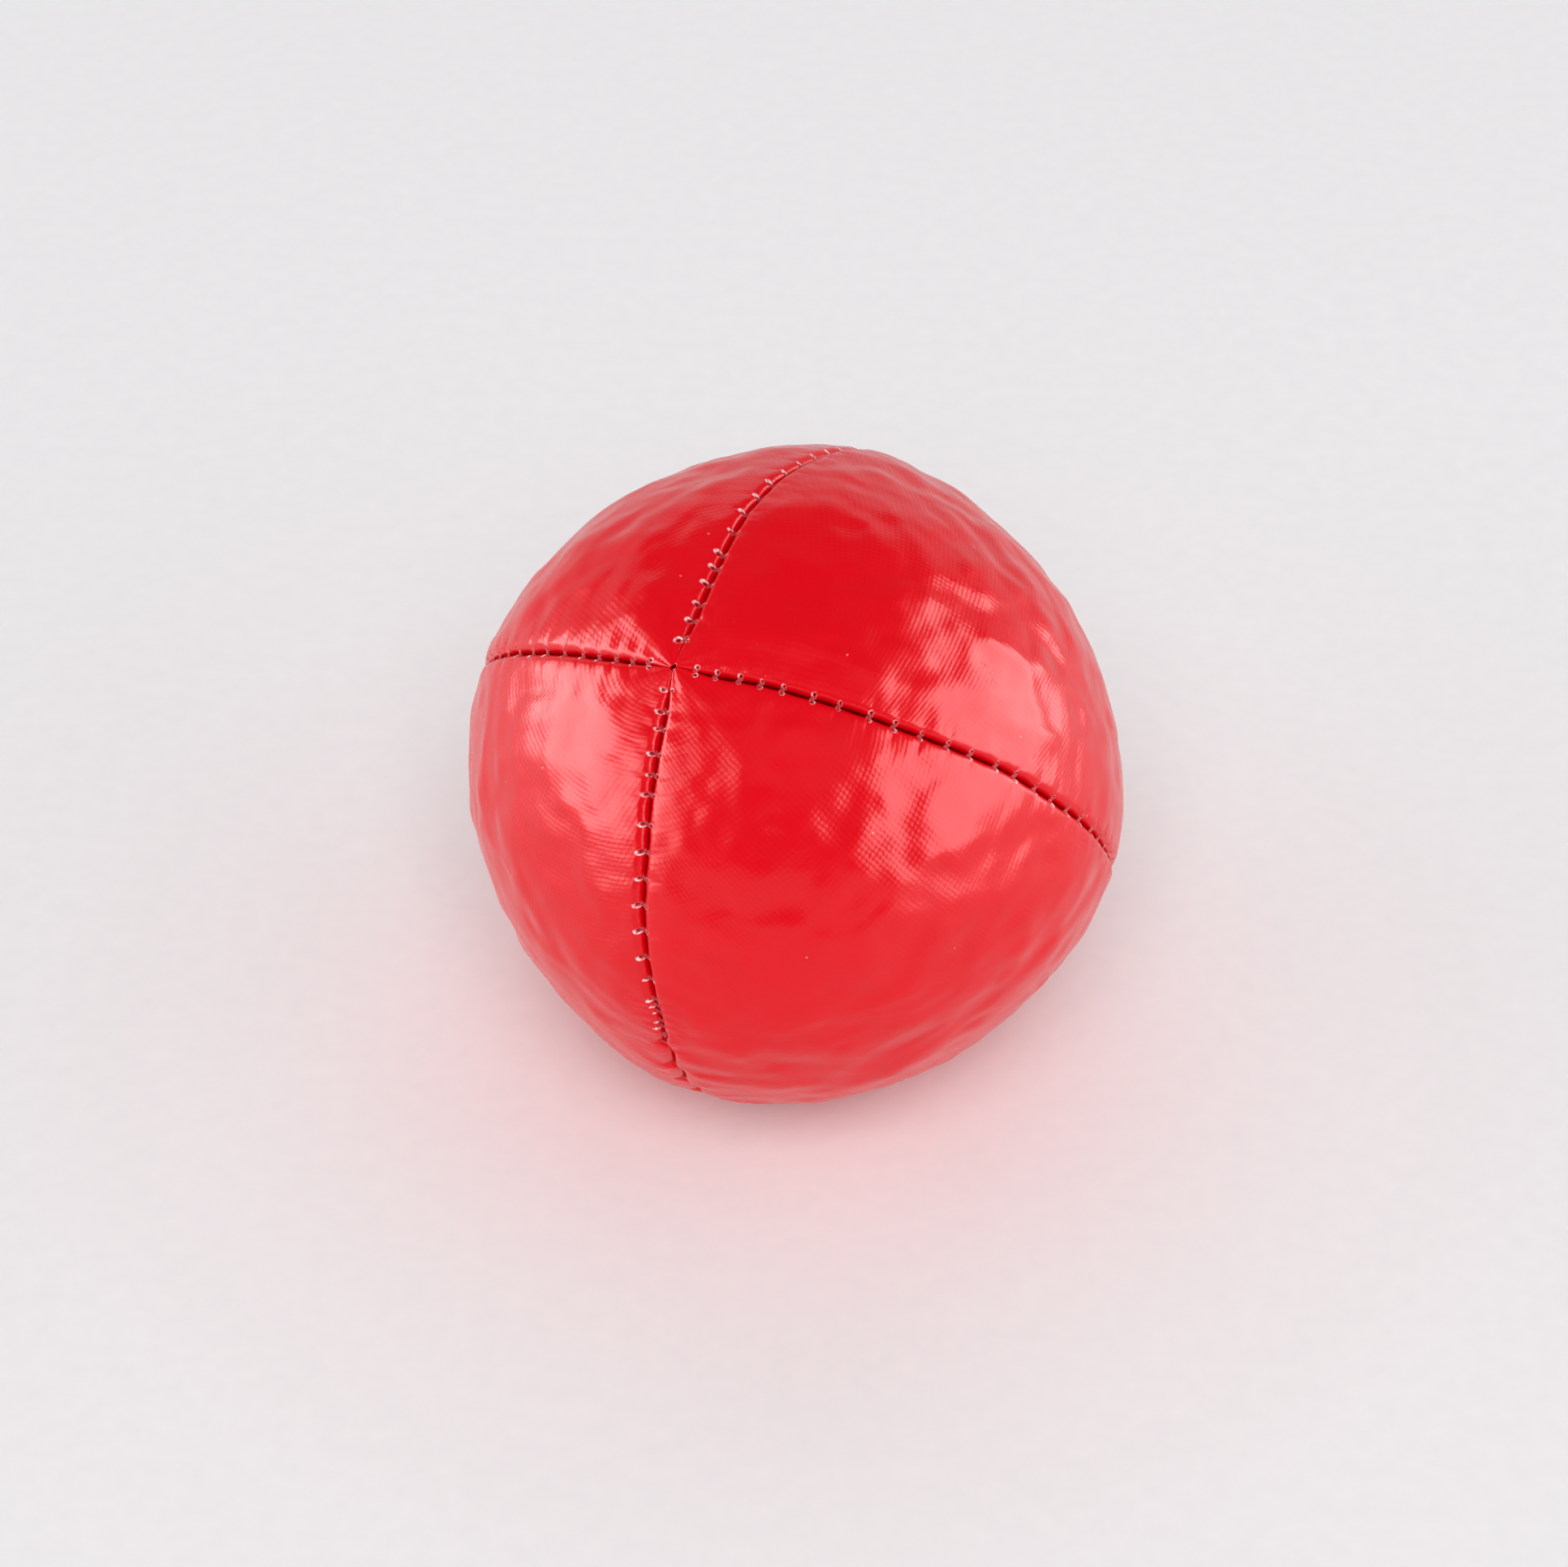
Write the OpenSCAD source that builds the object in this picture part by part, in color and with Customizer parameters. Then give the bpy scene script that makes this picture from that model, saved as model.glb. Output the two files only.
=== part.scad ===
// Four-panel juggling ball, filled with seed and closed by hand.
//
// Each panel is a pointed gore of coated cloth that runs from pole to pole, with a seam
// allowance folded inwards along both edges. Two half seams join the panels in pairs, one
// main seam joins the two halves through both poles, and a hand-sewn stretch of the main
// seam shuts the filling gap. The ball rests on a flat patch pressed into its underside.
//
// Ball frame, before it is laid down: the pole axis is Z, the main seam lies in the plane
// X = 0 and the half seams lie in the plane Y = 0. Row frame: +Z up, origin at the middle of
// the resting patch.

/* [Ball] */

// Diameter across two opposite seams, and across the poles
seam_dia = 66.4; // [56:0.2:80]
// How much nearer to the middle of the ball the panel middles lie than the seams
panel_drop = 1.4; // [0.4:0.1:2.4]
// Angle from a panel's middle to the edge of its flatter part
flat_turn = 42; // [30:0.5:42.5]
// How far the underside is pressed flat, measured at a seam
sag = 2.2; // [1.2:0.1:4]

/* [Pose] */

// Lean of the pole axis away from upright
lean = 34.6; // [0:0.2:60]
// Compass direction that the upper pole leans towards
lean_dir = -127.6; // [-180:0.2:180]
// Turn of the seams about the pole axis
spin = 104.7; // [-180:0.1:180]

/* [Cloth] */

// Thickness of the coated cloth
cloth_t = 0.8; // [0.5:0.05:1.1]
// Width of the seam allowance beyond the stitch line
allowance = 4; // [2.5:0.1:6]
// Radius that each panel edge rolls over before it turns inwards
lip_r = 1.0; // [0.6:0.05:1.4]
// Width of the open crease between two rolled edges
crease_w = 0.4; // [0.2:0.05:0.6]

/* [Stitching] */

// Stitches in half a turn of a seam
stitches = 37; // [25:1:45]
// How far the needle holes lie below the rolled edge
stitch_clear = 0.07; // [0.07:0.05:0.47]
// Thread diameter along the seam
thread_d = 0.3; // [0.2:0.02:0.36]
// Thread diameter where a loop passes through the cloth
loop_d = 0.4; // [0.24:0.02:0.46]
// First stitch that is sewn by hand, counted from the upper pole
first_hand_stitch = 14; // [8:1:16]
// Number of hand stitches that shut the filling gap
hand_stitches = 9; // [5:1:10]
// Diameter of the knots that end the closing thread
knot_d = 1.1; // [0.7:0.1:1.3]

/* [Hidden] */

// room left between pieces that lie against each other
play = 0.05;
// room between a thread and the cloth beside it
thread_play = 0.02;
// extra radius of a needle hole around its loop
hole_play = 0.05;
// room between the seed filling and the cloth
fill_play = 0.1;
// how far the two threads of a stitch stay apart where they lock
lock_play = 0.02;
// how far a straight length of thread stops short of a loop's axis
run_short = 0.08;
// how far a loop stands proud of the thread it joins
loop_cap = 0.03;
// how far the crease over the resting patch is drawn below its line
floor_slack = 0.1;
// how far the crease reaches past the stitch loops
crease_past = 0.15;

right_angle = 90;
half_turn = 180;
// smallest cosine used where the main seam's line runs over the resting patch
least_cos = 0.1;

seam_r = seam_dia / 2;
mid_r = seam_r - panel_drop;
big = 2 * seam_dia;

// A panel's flatter middle is part of a larger sphere, whose centre stands off the ball's
// centre on the far side of the ball.
cap_off = (seam_r * seam_r - mid_r * mid_r) / (2 * (mid_r - seam_r * cos(flat_turn)));
cap_r = mid_r + cap_off;

rest_h = seam_r - sag;

thread_r = thread_d / 2;
loop_r = loop_d / 2;

// Depth of the stitch line under the seam's outer line: the holes start where the lip ends.
stitch_depth = lip_r + loop_r + hole_play + stitch_clear;
stitch_r = seam_r - stitch_depth;
flange_r = stitch_r - allowance;
// How deep the allowances reach below the ball's middle, over the resting patch.
flange_floor_r = rest_h - stitch_depth - allowance;
run_off = play / 2 + cloth_t + thread_r + thread_play;
loop_top = run_off + thread_r + loop_cap;
pitch = half_turn / stitches;

// Where the main seam meets the floor: the angle from the upper pole, and the floor's
// distance from the ball's middle in the seam's plane.
floor_turn = atan2(sin(lean) * sin(spin), -cos(lean));
main_slope = sin(lean) * cos(spin);
floor_r = rest_h / sqrt(1 - main_slope * main_slope);
chord_r = floor_r - stitch_depth;

last_hand_stitch = first_hand_stitch + hand_stitches - 1;

red = [0.86, 0.02, 0.08];
maroon = [0.45, 0.02, 0.06];
straw = [0.85, 0.72, 0.42];

// ---- placing ----

// Lays the ball frame down on the floor.
module laid_down() {
    translate([0, 0, rest_h])
        rotate([0, 0, lean_dir])
            rotate([0, lean, 0])
                rotate([0, 0, spin])
                    children();
}

// Everything at least this far above the floor.
module above(h) {
    translate([-big, -big, h])
        cube([2 * big, 2 * big, 2 * big]);
}

// Local X towards the upper pole, local Y down the near side, local Z across the seam.
module in_main_plane() {
    laid_down()
        rotate([half_turn, -right_angle, 0])
            children();
}

// Local X towards the upper pole, local Y down the right seam, local Z across the seam.
module in_half_plane() {
    laid_down()
        rotate([right_angle, -right_angle, half_turn])
            children();
}

// ---- the ball's faces ----

// The whole ball with the flatter middle of the panel (sx, sy), moved inwards by a depth.
module panel_face(sx, sy, inwards) {
    laid_down()
        intersection() {
            sphere(r = seam_r - inwards);
            rotate([0, 0, atan2(sy, sx)])
                translate([-cap_off, 0, 0])
                    rotate([0, right_angle, 0])
                        sphere(r = cap_r - inwards);
        }
}

// The quarter of space (sx, sy), moved away from both seam planes.
module quarter(sx, sy, off) {
    laid_down()
        turned_to(sx, sy)
            translate([off, off, -big])
                cube([big, big, 2 * big]);
}

// Turns the first quarter into the quarter (sx, sy).
module turned_to(sx, sy) {
    turn = sx > 0 ? (sy > 0 ? 0 : -right_angle) : (sy > 0 ? right_angle : half_turn);
    rotate([0, 0, turn])
        children();
}

// The space inside the seam allowances.
module core(shrink) {
    intersection() {
        laid_down()
            sphere(r = flange_r - shrink);
        above(rest_h - flange_floor_r + shrink);
    }
}

// ---- creases ----

// What is cut away along a seam whose outer line lies at this radius: two rolled lips
// and the open crease between them. X is the radius, Y runs across the seam.
module crease_profile(top) {
    half = crease_w / 2;
    reach = lip_r + panel_drop;
    depth = stitch_depth + loop_r + crease_past;
    difference() {
        translate([top - lip_r, -half - lip_r])
            square([reach, 2 * (half + lip_r)]);
        translate([top - lip_r, half + lip_r])
            circle(r = lip_r);
        translate([top - lip_r, -half - lip_r])
            circle(r = lip_r);
    }
    translate([top - depth, -half])
        square([depth + reach - lip_r, crease_w]);
}

module round_crease() {
    rotate_extrude()
        crease_profile(seam_r);
}

// The main seam's crease where it crosses the resting patch.
module floor_crease() {
    rotate([0, 0, floor_turn])
        rotate([right_angle, 0, 0])
            linear_extrude(height = seam_dia, center = true)
                crease_profile(floor_r + floor_slack);
}

module creases() {
    in_main_plane()
        round_crease();
    in_main_plane()
        floor_crease();
    in_half_plane()
        round_crease();
}

// ---- stitches ----

// The stitch line's distance from the ball's middle, at a turn from the upper pole.
function main_r(turn) = min(stitch_r, chord_r / max(least_cos, cos(turn - floor_turn)));

function on_line(turn, r) = [r * cos(turn), r * sin(turn)];

function main_turn(k) = (k + 0.5) * pitch;
function main_point(k) = on_line(main_turn(k), main_r(main_turn(k)));
function seam_point(way, k) = on_line(way * k * pitch, stitch_r);

// A straight length of thread between two stitches, beside a seam.
module reach_between(p, q, off, r) {
    way = q - p;
    translate([p.x, p.y, off])
        rotate([0, 0, atan2(way.y, way.x)])
            translate([run_short, 0, 0])
                rotate([0, right_angle, 0])
                    cylinder(r = r, h = norm(way) - 2 * run_short);
}

// One loop through the cloth on one side of a seam.
module loop(p, side, r, inner) {
    translate([p.x, p.y, side > 0 ? inner : -loop_top])
        cylinder(r = r, h = loop_top - inner);
}

// The main seam's machine stitches run on from the filling gap, round the lower pole and
// the upper pole, back to the gap.
main_first = last_hand_stitch + 1;
main_last = 2 * stitches + first_hand_stitch - 1;

module main_thread(side) {
    color(maroon)
        in_main_plane() {
            for (k = [main_first : main_last])
                loop(main_point(k), side, loop_r, lock_play);
            for (k = [main_first : main_last - 1])
                reach_between(main_point(k), main_point(k + 1), side * run_off, thread_r);
        }
}

// A half seam's thread: way is 1 for the right seam and -1 for the left seam.
module half_thread(way, side) {
    color(maroon)
        in_half_plane() {
            for (k = [1 : stitches - 1])
                loop(seam_point(way, k), side, loop_r, lock_play);
            for (k = [1 : stitches - 2])
                reach_between(seam_point(way, k), seam_point(way, k + 1),
                              side * run_off, thread_r);
        }
}

// The closing thread is a ladder: it crosses the crease, runs inside one edge to the
// next stitch, and crosses back.
module closing_thread() {
    color(maroon)
        in_main_plane() {
            for (k = [first_hand_stitch : last_hand_stitch])
                translate([main_point(k).x, main_point(k).y, -loop_top])
                    cylinder(r = loop_r, h = 2 * loop_top);
            for (k = [first_hand_stitch : last_hand_stitch - 1])
                reach_between(main_point(k), main_point(k + 1),
                              (k % 2 == 0 ? 1 : -1) * run_off, thread_r);
            closing_knots(knot_d / 2);
        }
}

// Which side of the seam the closing thread starts and ends on.
start_side = first_hand_stitch % 2 == 0 ? -1 : 1;
end_side = last_hand_stitch % 2 == 0 ? 1 : -1;

module closing_knots(r) {
    start = main_point(first_hand_stitch);
    end = main_point(last_hand_stitch);
    translate([start.x, start.y, start_side * loop_top])
        sphere(r = r);
    translate([end.x, end.y, end_side * loop_top])
        sphere(r = r);
}

// ---- nodes ----

module panel(sx, sy) {
    hole_r = loop_r + hole_play;
    color(red)
        difference() {
            intersection() {
                panel_face(sx, sy, 0);
                above(0);
                quarter(sx, sy, play / 2);
            }
            intersection() {
                panel_face(sx, sy, cloth_t);
                above(cloth_t);
                quarter(sx, sy, play / 2 + cloth_t);
            }
            core(0);
            creases();
            in_main_plane()
                for (k = [0 : stitches - 1])
                    loop(main_point(sy < 0 ? k : -1 - k), sx, hole_r, 0);
            in_half_plane()
                for (k = [1 : stitches - 1])
                    loop(seam_point(sx, k), sy, hole_r, 0);
            in_main_plane()
                pole_passages(sx, thread_r + hole_play);
        }
}

// At both poles the main seam's thread goes through the half seams' allowances.
module pole_passages(side, r) {
    reach_between(main_point(-1), main_point(0), side * run_off, r);
    reach_between(main_point(stitches - 1), main_point(stitches), side * run_off, r);
}

module filling_quarter(sx, sy) {
    intersection() {
        panel_face(sx, sy, cloth_t + fill_play);
        above(cloth_t + fill_play);
        quarter(sx, sy, loop_top + fill_play);
    }
}

module seed_filling() {
    color(straw)
        difference() {
            union() {
                core(fill_play);
                for (sx = [-1, 1])
                    for (sy = [-1, 1])
                        filling_quarter(sx, sy);
            }
            in_main_plane()
                closing_knots(knot_d / 2 + fill_play);
        }
}

panel(1, -1);  // panel_front
panel(1, 1);  // panel_right
panel(-1, 1);  // panel_back
panel(-1, -1);  // panel_left
half_thread(1, 1);  // right_seam_needle_thread
half_thread(1, -1);  // right_seam_bobbin_thread
half_thread(-1, 1);  // left_seam_needle_thread
half_thread(-1, -1);  // left_seam_bobbin_thread
main_thread(1);  // main_seam_needle_thread
main_thread(-1);  // main_seam_bobbin_thread
closing_thread();
seed_filling();
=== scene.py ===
# %% [markdown]
# # A juggling ball sewn from four pointed panels of coated cloth
# The real thing is a soft beanbag ball: four gores of glossy coated cloth, three machine
# seams, one stretch closed by hand, and a filling of small round seed. The frame of the
# part comes first, because every piece below has to sit where its solid sits.

# %% Open the frame
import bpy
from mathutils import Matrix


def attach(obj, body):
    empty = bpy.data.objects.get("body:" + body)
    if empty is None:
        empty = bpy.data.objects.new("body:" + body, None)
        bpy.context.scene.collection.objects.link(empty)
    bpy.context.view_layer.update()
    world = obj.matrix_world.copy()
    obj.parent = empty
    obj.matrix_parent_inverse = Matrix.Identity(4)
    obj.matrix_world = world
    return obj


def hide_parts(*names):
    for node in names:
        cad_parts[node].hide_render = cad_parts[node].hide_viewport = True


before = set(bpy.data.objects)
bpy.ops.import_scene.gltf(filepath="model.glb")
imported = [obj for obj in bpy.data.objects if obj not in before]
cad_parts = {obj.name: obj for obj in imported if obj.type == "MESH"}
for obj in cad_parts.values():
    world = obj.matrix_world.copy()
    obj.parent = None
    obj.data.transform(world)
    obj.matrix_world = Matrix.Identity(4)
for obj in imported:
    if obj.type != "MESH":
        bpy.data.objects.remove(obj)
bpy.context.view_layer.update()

import math

import bpy
import numpy as np
from mathutils import Matrix, Vector
from mathutils.kdtree import KDTree

MM = 0.001

# %% [markdown]
# ## The ball's own directions
# A sewn ball is easiest to describe from its poles, where the four panel tips meet. In
# the ball frame the pole axis is Z, the long main seam lies in the plane X = 0 and the two
# half seams lie in the plane Y = 0. One turn then lays that frame down on the floor.

# %% Lay the ball frame down
LEAN, LEAN_DIR, SPIN = 34.6, -127.6, 104.7
REST_HEIGHT = 31.0
SEAM_R = 33.2
PANEL_DROP = 1.4
LAID = np.array(
    Matrix.Rotation(math.radians(LEAN_DIR), 3, "Z")
    @ Matrix.Rotation(math.radians(LEAN), 3, "Y")
    @ Matrix.Rotation(math.radians(SPIN), 3, "Z")
)
CENTRE = np.array([0.0, 0.0, REST_HEIGHT])


def laid_down(points):
    """Ball frame to floor frame, both in millimetres."""
    return points @ LAID.T + CENTRE


print("upper pole at", laid_down(np.array([0.0, 0.0, SEAM_R])).round(1), "mm")

# %% [markdown]
# ## Noise that comes out the same every time
# Cloth over seed is never smooth. Value noise on a fixed lattice gives soft bumps of any
# size, and a seeded table makes each run build the same ball.

# %% Smooth noise
LATTICE = 64
TABLE = np.random.RandomState(11).rand(LATTICE, LATTICE, LATTICE) * 2 - 1


def bumps(points, size, seed=0):
    """Soft noise from -1 to 1 on lattice points size apart, so a bump is about twice as long."""
    at = points / np.asarray(size, float) + seed * 7.31
    cell = np.floor(at).astype(int)
    part = at - cell
    part = part ** 3 * (part * (part * 6 - 15) + 10)
    total = np.zeros(at.shape[:-1])
    for corner in range(8):
        step = np.array([corner & 1, corner >> 1 & 1, corner >> 2 & 1])
        weight = np.where(step, part, 1 - part).prod(-1)
        i, j, k = np.moveaxis((cell + step) % LATTICE, -1, 0)
        total += TABLE[i, j, k] * weight
    return total


def ease(low, high, x):
    """0 below low, 1 above high, and a smooth rise between."""
    t = np.clip((x - low) / (high - low), 0, 1)
    return t * t * (3 - 2 * t)


def bell(x, width):
    """A smooth bump of height 1 round x = 0."""
    return np.exp(-(x / width) ** 2)


# %% [markdown]
# ## Where the needle went in
# The machine seams have a stitch every 2.8 mm. Real stitches are not quite even, so each
# has a small shift of its own, which the hole in each panel and the thread both use. On
# the lower half of the main seam the machine stopped with a few short stitches on top of
# each other, and longer hand stitches shut the gap that the seed went in through.

# %% Stitch places along each seam
STITCHES = 37
PITCH = 180 / STITCHES
SHORT_START = [4.2, 7.7, 11.2, 14.9, 18.7]
HAND_TURNS = [73.0, 81.0, 88.2, 97.5, 105.0, 112.0]
STOP_TURNS = [62.4, 64.0, 65.8, 67.4, 116.0, 117.6, 119.4]
EVEN_FROM, EVEN_TO = 20.5, 177.5
GAP_FROM, GAP_TO = 61.5, 120
CROWDED = 2.2
CROWDED_SIZE = 0.62
RNG = np.random.RandomState(5)


def machine_turns(seam):
    """Angles from the upper pole of the machine stitches."""
    late = 0.5 if seam in ("bottom", "top") else 0.9
    even = [turn for turn in (np.arange(STITCHES) + late) * PITCH if EVEN_FROM < turn < EVEN_TO]
    if seam == "bottom":
        even = [turn for turn in even if not GAP_FROM < turn < GAP_TO] + STOP_TURNS
    return SHORT_START + even


SEAMS = {}
for seam in ("bottom", "top", "right", "left"):
    turn = np.array(machine_turns(seam))
    turn = turn + RNG.uniform(-0.35, 0.35, len(turn))
    hand = np.zeros(len(turn), bool)
    if seam == "bottom":
        turn = np.concatenate([turn, HAND_TURNS])
        hand = np.concatenate([hand, np.ones(len(HAND_TURNS), bool)])
    order = np.argsort(turn)
    size = RNG.uniform(0.75, 1.2, (2, len(turn)))
    size = size * np.where(np.gradient(turn[order]) < CROWDED, CROWDED_SIZE, 1.0)
    SEAMS[seam] = {"turn": turn[order], "hand": hand[order], "size": size}
PITCH_MM = SEAM_R * math.radians(PITCH)
print("stitch length", round(PITCH_MM, 2), "mm;", {s: len(v["turn"]) for s, v in SEAMS.items()})


def nearest_stitch(seam, turn):
    """Index of the nearest stitch, and the distance past it along the seam in mm."""
    places = SEAMS[seam]["turn"]
    after = np.clip(np.searchsorted(places, turn), 1, len(places) - 1)
    index = np.where(turn - places[after - 1] < places[after] - turn, after - 1, after)
    return index, (turn - places[index]) * math.radians(1) * SEAM_R


def between_stitches(seam, turn):
    """0 at a stitch, rising to 1 at the next one."""
    places = SEAMS[seam]["turn"]
    after = np.clip(np.searchsorted(places, turn), 1, len(places) - 1)
    return np.clip((turn - places[after - 1]) / (places[after] - places[after - 1]), 0, 1)


# %% [markdown]
# ## How a seam wanders
# A seam sewn in soft cloth bends a little to either side of its true circle. Both
# panels shift together, so they stay clear of each other. On the hand-closed stretch the
# shift goes to and fro with each stitch and leaves a scalloped edge.

# %% Sideways shift of a seam
WANDER = {
    "bottom": [
        (0, 0.3), (14, 0.4), (27, 0.5), (38, 0.3), (52, 0.1),
        (65, 0.25), (82, -0.5), (99, -1.3), (135, 0),
    ],
    "top": [(0, 0.3), (20, 0.3), (33, 0.0), (42, 0.1), (54, 0.6), (66, 1.05), (90, 0.8), (130, 0)],
    "right": [(0, -0.4), (6, -0.4), (18, 0.0), (46, 0.0), (60, 0.25), (72, -0.1), (99, -0.4), (140, 0)],
    "left": [(0, -0.6), (12, -0.5), (25, -0.2), (38, 0.2), (56, 0.65), (90, 0.4), (130, 0)],
}


def hand_zone(seam, turn):
    """1 on the hand-closed stretch and 0 elsewhere."""
    if seam != "bottom":
        return np.zeros_like(turn)
    return ease(67.5, 71.5, turn) * (1 - ease(113, 117, turn))


def seam_shift(seam, turn):
    """Shift of the seam's middle across itself, in mm, towards +X or +Y of the ball frame."""
    knots = np.array(WANDER[seam])
    shift = np.interp(turn, knots[:, 0], knots[:, 1])
    line = np.stack([turn / 6, turn * 0 + len(seam), turn * 0], -1)
    shift = shift + 0.10 * bumps(line, 1.0, len(seam)) * ease(2, 9, turn)
    phase = between_stitches(seam, turn)
    scallop = 0.6 * (ease(0, 0.16, phase) - ease(0.16, 1.0, phase)) - 0.25
    return (1 - ease(172, 178, turn)) * (shift + hand_zone(seam, turn) * scallop)


# %% [markdown]
# ## The ball under the cloth
# Four flat pieces of cloth can't make a true sphere. The ball is fullest along its seams
# and flatter over the middle of each panel, so its section is a rounded square. Seed
# presses from inside in soft lumps a few millimetres across.

# %% Ball shape and lumps


def ball_radius(n):
    """Outer radius in mm in the direction n of the ball frame."""
    corner = 2 * np.abs(n[..., 0] * n[..., 1])
    return SEAM_R - PANEL_DROP * corner ** 0.85


def seed_lumps(n, away):
    """Unevenness from the seed, in mm outwards; away is the distance from a seam."""
    at = n * SEAM_R
    coarse = 0.38 * bumps(at, 15.0, 1) + 0.17 * bumps(at, 8.0, 2)
    fine = 0.17 * bumps(at, 4.4, 3) + 0.15 * bumps(at, 2.6, 4) + 0.05 * bumps(at, 1.6, 5)
    return coarse * (0.6 + 0.4 * ease(0.5, 5, away)) + fine * (0.25 + 0.75 * ease(0.5, 4, away))


# %% [markdown]
# ## One panel edge
# At a seam the cloth rolls over a small lip, dives into the crease and runs on inside as
# the seam allowance. Each stitch pulls the lip down and leaves a stretched hole: large and
# pointed on one side of the seam, small on the other.

# %% Shape of a panel near a seam
LIP_R = 0.85
CLOTH_T = 0.8
ALLOWANCE = 4.0
TIGHT_GAP, OPEN_GAP = 0.05, 0.16


def crease_gap(seam, turn):
    """Half the width of the crease: tight at a stitch, open between stitches."""
    spread = np.sin(math.pi * between_stitches(seam, turn)) ** 0.7
    return TIGHT_GAP + (OPEN_GAP - TIGHT_GAP) * spread * (1 - 0.7 * hand_zone(seam, turn))


def hole_place(seam, side, turn, away):
    """Where a point lies round the nearest stitch hole, whose rim is at distance 1."""
    index, along = nearest_stitch(seam, turn)
    size = SEAMS[seam]["size"][side][index]
    reach = ((0.58, 0.46) if seam in ("bottom", "top") else (0.38, 0.32))[side] * size
    broad = (0.21, 0.19)[side] * size
    start = (0.18, 0.20)[side]
    beside = np.abs(along - 0.12 * away) / broad
    outward = (away - start - reach / 2) / (reach / 2)
    low = ease(-0.12, 0.12, along if side == 0 else -along)
    active = np.where(SEAMS[seam]["hand"][index], 0.0, 1.0)
    return beside, outward, low, active


def seam_relief(seam, side, turn, away):
    """Outward shift in mm near one seam."""
    index, along = nearest_stitch(seam, turn)
    phase = between_stitches(seam, turn)
    pull = bell(along, 0.45) * np.exp(-((away - 0.4) / 1.0) ** 2)
    swell = np.sin(math.pi * phase) * bell(away - 1.1, 0.9)
    bend = bumps(np.stack([turn / 9, away / 3, turn * 0], -1), 1.0) * 1.2
    lines = np.stack([turn * 1.3 + bend, away / 3, turn * 0 + side], -1)
    fine = bumps(lines, 1.0, 9) * np.exp(-away / 2.6) * ease(0.3, 1.2, away)
    beside, outward, low, active = hole_place(seam, side, turn, away)
    pit = 0.34 * (1 - ease(0.5, 1.15, np.hypot(beside, outward))) * active
    rim = 0.05 * bell(np.hypot(beside, outward) - 1.25, 0.35) * active
    valley = -0.42 * np.exp(-away / 2.4)
    zone = hand_zone(seam, turn)
    step = (0.28 if side else -0.22) * zone * np.exp(-away / 2.5)
    tuck = -0.25 * bell(along, 0.4) * bell(away - 0.3, 0.8) * zone
    width = SEAM_R * np.sin(np.radians(turn)) * math.sqrt(0.5)
    own = 1 - ease(0.45, 0.9, away / width)
    return own * (valley + 0.05 * swell - 0.05 * pull + 0.03 * fine - pit + rim + step + tuck)


# %% [markdown]
# ## Folds that start at the hand stitches
# Where the filling gap was pulled shut the cloth gathers, and soft folds run out from the
# stitches across the panel. Above the right seam the cloth has looser wrinkles along it.

# %% Folds
HAND_FOLDS = [
    (67, 24, 0.8, 12, 0.14), (75, 26, 1.0, 14, 0.24), (81, 20, 0.9, 17, 0.30),
    (86, 14, 1.1, 15, 0.28), (92, 8, 1.2, 19, 0.30), (98, 2, 1.0, 16, 0.28),
    (104, -8, 1.2, 14, 0.28), (111, -16, 1.1, 12, 0.22),
]
LOOSE_WRINKLES = [
    (30, 4.4, 0.8, 6.0, 0.16, -0.10), (36, 7.0, 0.9, 7.0, 0.22, 0.10), (43, 4.6, 0.9, 7.0, 0.22, 0.16),
    (46, 9.4, 1.1, 8.0, 0.24, -0.08), (53, 6.6, 1.0, 8.0, 0.24, 0.12), (58, 11.6, 1.3, 9.0, 0.22, 0.04),
    (35, 11.4, 1.0, 6.0, 0.18, 0.20), (63, 5.0, 1.0, 9.0, 0.20, 0.14), (40, 13.5, 1.1, 7.0, 0.16, 0.1),
]


def folds(name, turn, from_half, from_main):
    """Larger folds of a panel, in mm outwards."""
    total = np.zeros_like(turn)
    if name in ("panel_front", "panel_left"):
        share = 1.0 if name == "panel_front" else 0.6
        for start, slope, width, length, height in HAND_FOLDS:
            along = (turn - start) * math.radians(1) * SEAM_R
            off = along - from_main * math.tan(math.radians(slope))
            fade = ease(0.4, 2.2, from_main) * np.exp(-from_main / length * 1.6)
            total += share * height * fade * bell(off, width * (1 + from_main * 0.08))
    if name == "panel_right":
        for middle, away, width, length, height, lean in LOOSE_WRINKLES:
            along = (turn - middle) * math.radians(1) * SEAM_R
            off = from_half - away - lean * along
            total += height * bell(off, width) * bell(along, length)
    return total


# %% [markdown]
# ## Building a panel as a sheet with two faces
# The outer face is a fine grid that follows the panel from tip to tip, with close columns
# at both edges where the lips and stitch holes are. The inner face is coarse, since the
# filling hides it. Both are joined at the end of the seam allowance into one closed sheet.

# %% Panel builder
WEAVE_TURN = {"panel_front": 34, "panel_right": 10, "panel_back": 28, "panel_left": -32}
ROWS = 901
ROW_STEP = 4
TIP_TURN = 0.45
MIDDLE_COLUMNS = 64
INNER_MIDDLE = 15
FULL_EDGE = 3.4
ARC = np.linspace(0, math.pi / 2, 15)
EDGE_AWAY = np.concatenate([[0, 0, 0], LIP_R * (1 - np.cos(ARC)), LIP_R + 0.18 * np.arange(1, 11)])
EDGE_DEPTH = np.concatenate([[ALLOWANCE + LIP_R, 2.6, 1.6], LIP_R * (1 - np.sin(ARC)), np.zeros(10)])
INNER_AWAY = np.array([CLOTH_T, CLOTH_T, CLOTH_T + 0.04, LIP_R + 0.1])
INNER_DEPTH = np.array([ALLOWANCE + LIP_R, 2.4, LIP_R, CLOTH_T])


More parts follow.
